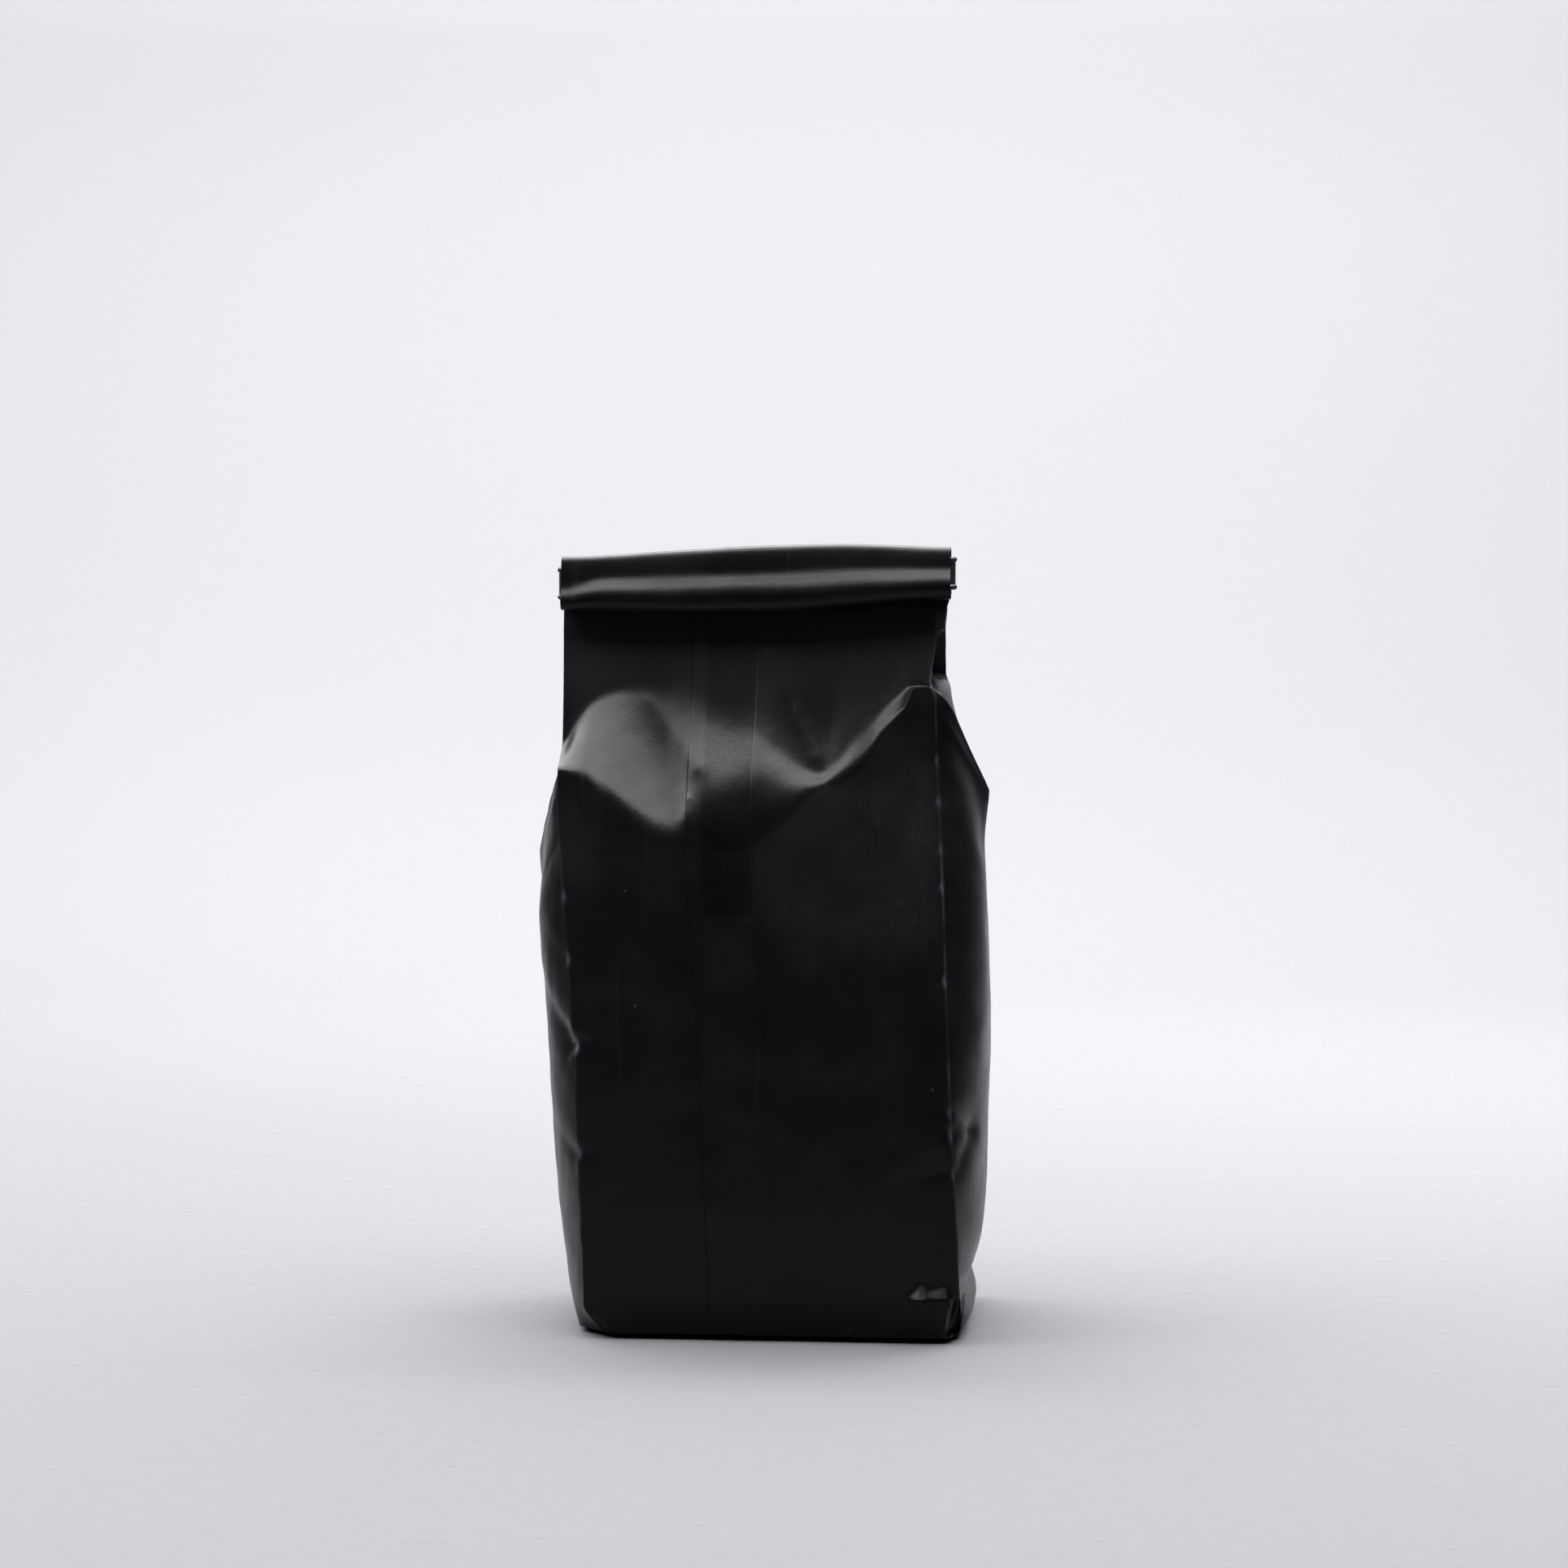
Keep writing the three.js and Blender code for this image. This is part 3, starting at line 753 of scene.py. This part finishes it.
wall = wallPoints(columns, wallRows)
shoulder = shoulderPoints(columns, shoulderRows)
rolled = rollPoints(columns, rollRows)
risingRows = np.linspace(0, 1, fineness["behindRoll"])[1:-1, None, None]
behindRoll = mix(shoulder[-1], rolled[0], risingRows)
middle = (leftCrease(0) + rightCrease(0)) / 2


def underside(inset, z):
    ring = wall[0].copy()
    ring[:, 0] -= inset * (ring[:, 0] - middle) / (rightCrease(0) - middle)
    ring[:, 1] -= inset * ring[:, 1] / body["halfDepth"]
    ring[:, 2] = z
    return ring[None]


undersides = [underside(inset, z) for inset, z in base["undersideRings"]]
film = np.concatenate([*undersides, wall, shoulder, behindRoll, rolled])
x, y, z = (film[..., i].copy() for i in range(3))
u, h, end = columns["u"], columns["h"], columns["end"]
inRoll = (np.arange(len(film)) >= len(film) - len(rolled))[:, None]
inFront = columns["isFront"] & ~inRoll
behind = columns["isPanel"] & (columns["out"] > 0) & ~inRoll
inLeft, inRight = ((columns["side"] == side) & ~inRoll for side in (-1, 1))

# The relief fades out at the seat, at the ends of a panel, at the edges of a gusset and up its tuck.
relief = {"seat": (1, 4), "panelEnd": (0.93, 1), "gussetEdge": (0, 0.12), "tuck": (128, 150)}
aboveSeat = ease(*relief["seat"], z)
fading = 1 - ease(*relief["panelEnd"], np.abs(u))
film[..., 1] -= inFront * fading * creaseRelief(x, z, frontCreases) * aboveSeat
film[..., 1] -= inFront * seamRelief(u, z) * aboveSeat
film[..., 1] -= inFront * crushRelief(x, z)
film[..., 1] += ~inRoll * tornDepth(film[..., 0], film[..., 1], z)
film[..., 1] += behind * fading * creaseRelief(x, z, backCreases) * aboveSeat
inGusset = ease(*relief["gussetEdge"], h) * aboveSeat * (1 - ease(*relief["tuck"], z))
film[..., 0] -= inLeft * inGusset * creaseRelief(y, z, leftCreases)
film[..., 0] += inRight * inGusset * creaseRelief(y, z, rightCreases)

# On the right the neck is a little narrower than the roll, and its back edge stands out lower down.
narrowing = {
    "front": 1.4,
    "frontHeights": (141, 144.5),
    "backHeights": (130, 146),
    "backOf": (-1, -0.7),
    "across": (0.75, 1),
    "topFade": (161, 164),
}
atBack = ease(*narrowing["backOf"], columns["out"])
frontNarrower = narrowing["front"] * ease(*narrowing["frontHeights"], z)
narrower = mix(frontNarrower, backNarrower(z) * ease(*narrowing["backHeights"], z), atBack)
film[..., 0] -= narrower * ease(*narrowing["across"], u) * ~inRoll * (1 - ease(*narrowing["topFade"], z))

# About how far each column lies from the front crease; those behind count as far away.
halfPanel, farAway = 41.5, 99
acrossPanel = (1 - np.abs(u)) * halfPanel
acrossGusset = (1 - np.abs(columns["out"])) * body["halfDepth"]
fromCrease = np.where(columns["isPanel"], acrossPanel, acrossGusset)
fromCrease = np.where(columns["out"] <= 0, fromCrease, farAway)
pinchedLeft, pinchedRight = (pinchDepth(z, fromCrease, pinches) for pinches in (leftPinches, rightPinches))
pinched = np.where(end < 0, pinchedLeft, pinchedRight) * ~inRoll
film[..., 0] -= pinch["drawnIn"] * end * pinched
film[..., 1] += pinch["pushedBack"] * pinched

# Slow waves over the film, and slighter ones on the roll.
wave = {
    "long": 0.16,
    "short": 0.05,
    "onFront": 0.35,
    "seat": (2, 14),
    "neckLoss": 0.7,
    "neckHeights": (124, 150),
    "rollShort": 0.02,
    "rollLong": 0.06,
}
longWaves = wave["long"] * ripples(x + 0.7 * y, z, wavelength=34, seed=4)
waves = longWaves + wave["short"] * ripples(x - y, z, wavelength=9, seed=8)
waves = waves * np.where(columns["isFront"], wave["onFront"], 1) * ease(*wave["seat"], z)
waves = waves * (1 - wave["neckLoss"] * ease(*wave["neckHeights"], z))
rollWaves = wave["rollShort"] * ripples(x, z + y, wavelength=11, seed=5)
rollWaves = rollWaves + wave["rollLong"] * ripples(x, 0.3 * z, wavelength=30, seed=6)
film += gridNormals(film) * np.where(inRoll, rollWaves, waves)[..., None]

filmFaces = ringFaces(film.shape[0], film.shape[1])
bag = newObject("filmBody", film.reshape(-1, 3), filmFaces, filmMaterial)
bag.data.set_sharp_from_angle(angle=math.radians(42))

# Painted highlights on the front creases: a thin pale line along each, stronger at its pinches and up the
# neck on the right.
creaseShine = {
    "width": 0.2,
    "least": 0.12,
    "more": 0.3,
    "onLeft": 0.4,
    "neckMore": 3,
    "neckHeights": (141, 146),
    "spotWidth": 0.5,
    "spotGrowth": 1.5,
    "line": 0.6,
    "spot": 0.7,
}
uneven = creaseShine["least"] + creaseShine["more"] * ripples(0 * z, z, wavelength=13, seed=3).clip(0, 1)
line = np.exp(-((fromCrease / creaseShine["width"]) ** 2)) * uneven
line = line * np.where(end > 0, 1, creaseShine["onLeft"]) * ~inRoll
line = line * (1 + creaseShine["neckMore"] * ease(*creaseShine["neckHeights"], z) * (end > 0))
spots = np.clip(pinched * creaseShine["spotGrowth"], 0, 1) * np.exp(-((fromCrease / creaseShine["spotWidth"]) ** 2))
creaseShineAmount = np.clip(creaseShine["line"] * line + creaseShine["spot"] * spots, 0, 1)
creaseHighlight = bag.data.attributes.new("creaseHighlight", "FLOAT", "POINT")
creaseHighlight.data.foreach_set("value", creaseShineAmount.ravel().astype(np.float32))
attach(bag, "root")
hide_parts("bag")
print("film body", len(bag.data.polygons), "faces")

# The knurling that presses the seam together: rows of small flat dots, laid like bricks.
knurl = {
    "pitch": 0.45,
    "rowPitch": 0.4,
    "firstRow": 0.3,
    "lastRow": 71,
    "rightGap": 0.9,
    "measuredAt": 120,
    "sides": 6,
    "flatTop": 0.54,
    "width": 0.3,
    "height": 0.11,
    "unevenness": 0.14,
    "seed": 7,
}


def filmAt(across, heights):
    front = columns["isFront"]
    rows = ~inRoll[:, 0]
    grid, known = film[rows][:, front], u[front]
    left = np.clip(np.searchsorted(known, across) - 1, 0, len(known) - 2)
    part = ((across - known[left]) / (known[left + 1] - known[left]))[:, None]
    lines = mix(grid[:, left], grid[:, left + 1], part)
    points = []
    for i in range(len(across)):
        run = np.concatenate([[0], np.cumsum(np.linalg.norm(np.diff(lines[:, i], axis=0), axis=1))])
        run = run - np.interp(seam["bottom"], lines[:, i, 2], run)
        points.append(np.stack([np.interp(heights, run, lines[:, i, k]) for k in range(3)], -1))
    return np.stack(points, 1)


def knurlTree():
    tree = bpy.data.node_groups.new("knurl", "GeometryNodeTree")
    names = {}
    kinds = {
        "Geometry": "Geometry",
        "Dot width": "Float",
        "Dot height": "Float",
        "Unevenness": "Float",
        "Seed": "Int",
        "Finish": "Material",
    }
    for name, kind in kinds.items():
        socket = tree.interface.new_socket(name, in_out="INPUT", socket_type="NodeSocket" + kind)
        names[name] = socket.identifier
    tree.interface.new_socket("Geometry", in_out="OUTPUT", socket_type="NodeSocketGeometry")
    start = Signal(tree)
    given = {name: start.node("NodeGroupInput", output=name) for name in names}
    radius = given["Dot width"] * 0.5
    cone = {
        "Vertices": knurl["sides"],
        "Radius Top": radius * knurl["flatTop"],
        "Radius Bottom": radius,
        "Depth": given["Dot height"] * 2,
    }
    dot = start.node("GeometryNodeMeshCone", None, cone)
    sunk = start.node("ShaderNodeCombineXYZ", None, {"Z": given["Dot height"] * -1})
    dot = start.node("GeometryNodeTransform", None, {"Geometry": dot, "Translation": sunk})
    outward = {"Vector": start.node("GeometryNodeInputNormal")}
    facing = start.node("FunctionNodeAlignRotationToVector", {"axis": "Z"}, outward)
    sizes = {2: 1 - given["Unevenness"], 3: given["Unevenness"] + 1, "Seed": given["Seed"]}
    size = start.node("FunctionNodeRandomValue", {"data_type": "FLOAT"}, sizes, 1)
    placed = {"Points": given["Geometry"], "Instance": dot, "Rotation": facing, "Scale": size}
    dots = start.node("GeometryNodeInstanceOnPoints", None, placed)
    made = start.node("GeometryNodeRealizeInstances", None, {"Geometry": dots})
    made = start.node("GeometryNodeSetMaterial", None, {"Geometry": made, "Material": given["Finish"]})
    output = tree.nodes.new("NodeGroupOutput")
    tree.links.new(made.socket, output.inputs["Geometry"])
    return tree, names


def throughNodes(piece, tree, names, values):
    modifier = piece.modifiers.new(tree.name, "NODES")
    modifier.node_group = tree
    for name, value in values.items():
        modifier[names[name]] = value
    graph = bpy.context.evaluated_depsgraph_get()
    mesh = bpy.data.meshes.new_from_object(piece.evaluated_get(graph), depsgraph=graph)
    piece.modifiers.remove(modifier)
    old, piece.data = piece.data, mesh
    bpy.data.meshes.remove(old)


def sealKnurl():
    halfWidth = (rightCrease(knurl["measuredAt"]) - leftCrease(knurl["measuredAt"])) / 2
    step = knurl["pitch"] / halfWidth
    lastDot = seam["knurlRight"] - knurl["rightGap"] * step
    across = np.arange(seam["knurlLeft"] + step, lastDot, step)
    rowPitch = knurl["rowPitch"] * 1
    heights = np.arange(knurl["firstRow"], knurl["lastRow"], rowPitch)
    even, odd = filmAt(across, heights), filmAt(across + step / 2, heights)
    grid = np.where((np.arange(len(heights)) % 2 == 0)[:, None, None], even, odd)
    grid = grid[(grid[..., 2] < seam["top"]).all(1)]
    rows, count = grid.shape[:2]
    i, j = np.meshgrid(np.arange(count - 1), np.arange(rows - 1))
    corner = (j * count + i).ravel()
    faces = np.stack([corner, corner + 1, corner + count + 1, corner + count], -1).tolist()
    piece = newObject("sealKnurl", grid.reshape(-1, 3), faces, filmMaterial, smooth=False)
    tree, names = knurlTree()
    values = {
        "Dot width": knurl["width"] * mm,
        "Dot height": knurl["height"] * mm,
        "Unevenness": knurl["unevenness"],
        "Seed": knurl["seed"],
        "Finish": filmMaterial,
    }
    throughNodes(piece, tree, names, values)
    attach(piece, "root")
    print("seal knurl", rows * count, "dots")


sealKnurl()

# The tin tie: a coated band with a wire along each edge, inside the roll and bent round its ends.
tie = {
    "width": 7.2,
    "band": 0.5,
    "wireRadius": 0.58,
    "clearance": 0.32,
    "tab": 19,
    "bendRadius": 1.5,
    "left": -43.4,
    "right": 42.4,
    "wireSides": 18,
    "bendSteps": 8,
    "straightSteps": 24,
    "tabSteps": 6,
    "throughSteps": 2,
    "pressedIn": 0.1,
    "endWidth": 0.8,
}


def tieRoute():
    out = tie["clearance"] + tie["wireRadius"]
    left, right = tie["left"] - out, tie["right"] + out
    behindFilm = neck["y"] + roll["film"] / 2 + out
    inside = neck["y"] - roll["fullDepth"] - tie["wireRadius"] + tie["pressedIn"]
    places, heading = [np.array([left + tie["bendRadius"] + tie["tab"], behindFilm])], math.pi

    def go(length, steps):
        for _ in range(steps):
            ahead = np.array([math.cos(heading), math.sin(heading)])
            places.append(places[-1] + ahead * length / steps)

    across = right - left - 2 * tie["bendRadius"]
    inwards = behindFilm - inside - 2 * tie["bendRadius"]
    turn = math.pi / 4 / tie["bendSteps"]
    tab, end = (tie["tab"], tie["tabSteps"]), (inwards, tie["throughSteps"])
    for length, steps in (tab, end, (across, tie["straightSteps"]), end):
        go(length, steps)
        for _ in range(tie["bendSteps"]):
            heading += turn
            go(2 * tie["bendRadius"] * math.sin(turn), 1)
            heading += turn
    go(*tab)
    return np.array(places)


def tieSection():
    meet = math.asin(tie["band"] / 2 / tie["wireRadius"])
    angle = np.linspace(meet - math.pi / 2, 3 * math.pi / 2 - meet, tie["wireSides"] + 1)
    wire = tie["width"] / 2 - tie["wireRadius"]
    half = np.stack([tie["wireRadius"] * np.cos(angle), wire + tie["wireRadius"] * np.sin(angle)], -1)
    return np.concatenate([half, -half])


def tinTie():
    route, section = tieRoute(), tieSection()
    along = np.gradient(route, axis=0)
    along = along / np.linalg.norm(along, axis=1, keepdims=True)
    slope = (rollMiddle(tie["right"]) - rollMiddle(tie["left"])) / (tie["right"] - tie["left"])
    level = rollMiddle(tie["left"]) + slope * (route[:, 0] - tie["left"])
    # The band is cut a little narrower at each end.
    run = np.arange(len(route))
    ends = np.minimum(run, len(route) - 1 - run)
    narrow = np.where(ends == 0, tie["endWidth"], 1)
    width, up = section[:, 0], section[:, 1]
    points = np.stack(
        [
            route[:, :1] - width * along[:, 1:],
            route[:, 1:] + width * along[:, :1],
            level[:, None] + up * narrow[:, None],
        ],
        -1,
    )
    faces = ringFaces(len(route), len(section))
    piece = newObject("tinTie", points.reshape(-1, 3), faces, tieMaterial)
    piece.data.set_sharp_from_angle(angle=math.radians(50))
    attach(piece, "root")
    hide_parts("tin_tie")
    print("tin tie", len(piece.data.polygons), "faces")


tinTie()

# The floor and the sweep behind it

# The paper widens towards the back, and the room is dim beside it.
sweep = {
    "front": -235,
    "turn": 700,
    "radius": 500,
    "turnSteps": 24,
    "top": 1700,
    "left": (-160, -620),
    "right": (185, 400),
}
profile = [(sweep["front"], 0), (sweep["turn"], 0)]
for step in range(1, sweep["turnSteps"] + 1):
    angle = step / sweep["turnSteps"] * math.pi / 2
    y = sweep["turn"] + sweep["radius"] * math.sin(angle)
    profile.append((y, sweep["radius"] * (1 - math.cos(angle))))
profile.append((sweep["turn"] + sweep["radius"], sweep["top"]))
back = sweep["turn"] + sweep["radius"]
ends = (sweep["front"], back)
points = [(np.interp(y, ends, sweep[side]), y, z) for y, z in profile for side in ("left", "right")]
faces = [(2 * i, 2 * i + 1, 2 * i + 3, 2 * i + 2) for i in range(len(profile) - 1)]
floor = newObject("studioFloor", points, faces, floorMaterial)

# The camera

camera = {
    "place": (71.45, -765.73, 154.76),
    "azimuth": 5,
    "elevation": 2.5,
    "focalPixels": 4200,
    "imagePixels": 1932,
    "sensor": 36,
    "clip": (0.01, 20),
}
lens = bpy.data.cameras.new("camera")
lens.sensor_width = camera["sensor"]
lens.lens = camera["sensor"] * camera["focalPixels"] / camera["imagePixels"]
lens.clip_start, lens.clip_end = camera["clip"]
cameraObject = bpy.data.objects.new("camera", lens)
cameraObject.location = Vector(camera["place"]) * mm
cameraObject.rotation_euler = Euler(
    (math.radians(90 - camera["elevation"]), 0, math.radians(camera["azimuth"]))
)
bpy.context.scene.collection.objects.link(cameraObject)
bpy.context.scene.camera = cameraObject

# The lights


def softLight(name, place, target, size, watts):
    data = bpy.data.lights.new(name, "AREA")
    data.shape = "RECTANGLE"
    data.size, data.size_y = size
    data.energy = watts
    light = bpy.data.objects.new(name, data)
    light.location = place
    light.rotation_euler = (Vector(target) - Vector(place)).to_track_quat("-Z", "Y").to_euler()
    bpy.context.scene.collection.objects.link(light)


softLight("key", place=(-0.525, 0.15, 1.25), target=(-0.525, 0.15, 0), size=(3.05, 1.8), watts=190)
softLight("sweepWash", place=(0.1, 0.4, 1.5), target=(0.1, 1.2, 0.6), size=(1.2, 0.4), watts=54)


# The room gives little light, more of it from behind the bag and less towards the right.
# The camera itself sees the room pale.
room = {
    "color": (0.94, 0.94, 1, 1),
    "least": 0.07,
    "behind": 0.4,
    "behindBetween": (0.6, 0.85),
    "rightShare": 0.4,
    "rightBetween": (0.3, 0.9),
    "seen": 0.8,
}


def roomLight():
    world = bpy.data.worlds.new("studio")
    bpy.context.scene.world = world
    world.use_nodes = True
    tree = world.node_tree
    start = Signal(tree)
    direction = start.node("ShaderNodeTexCoord", output="Generated")
    x, y, z = (start.node("ShaderNodeSeparateXYZ", None, {0: direction}, i) for i in range(3))
    strength = y.ramp(*room["behindBetween"], room["least"], room["behind"])
    strength = strength * x.ramp(*room["rightBetween"], 1, room["rightShare"])
    seen = start.node("ShaderNodeLightPath", output="Is Camera Ray")
    background = tree.nodes["Background"]
    background.inputs["Color"].default_value = room["color"]
    strength = seen * room["seen"] + (1 - seen) * strength
    tree.links.new(strength.socket, background.inputs["Strength"])


roomLight()
bpy.context.scene.view_settings.view_transform = "Standard"
print("floor, camera and lights placed")
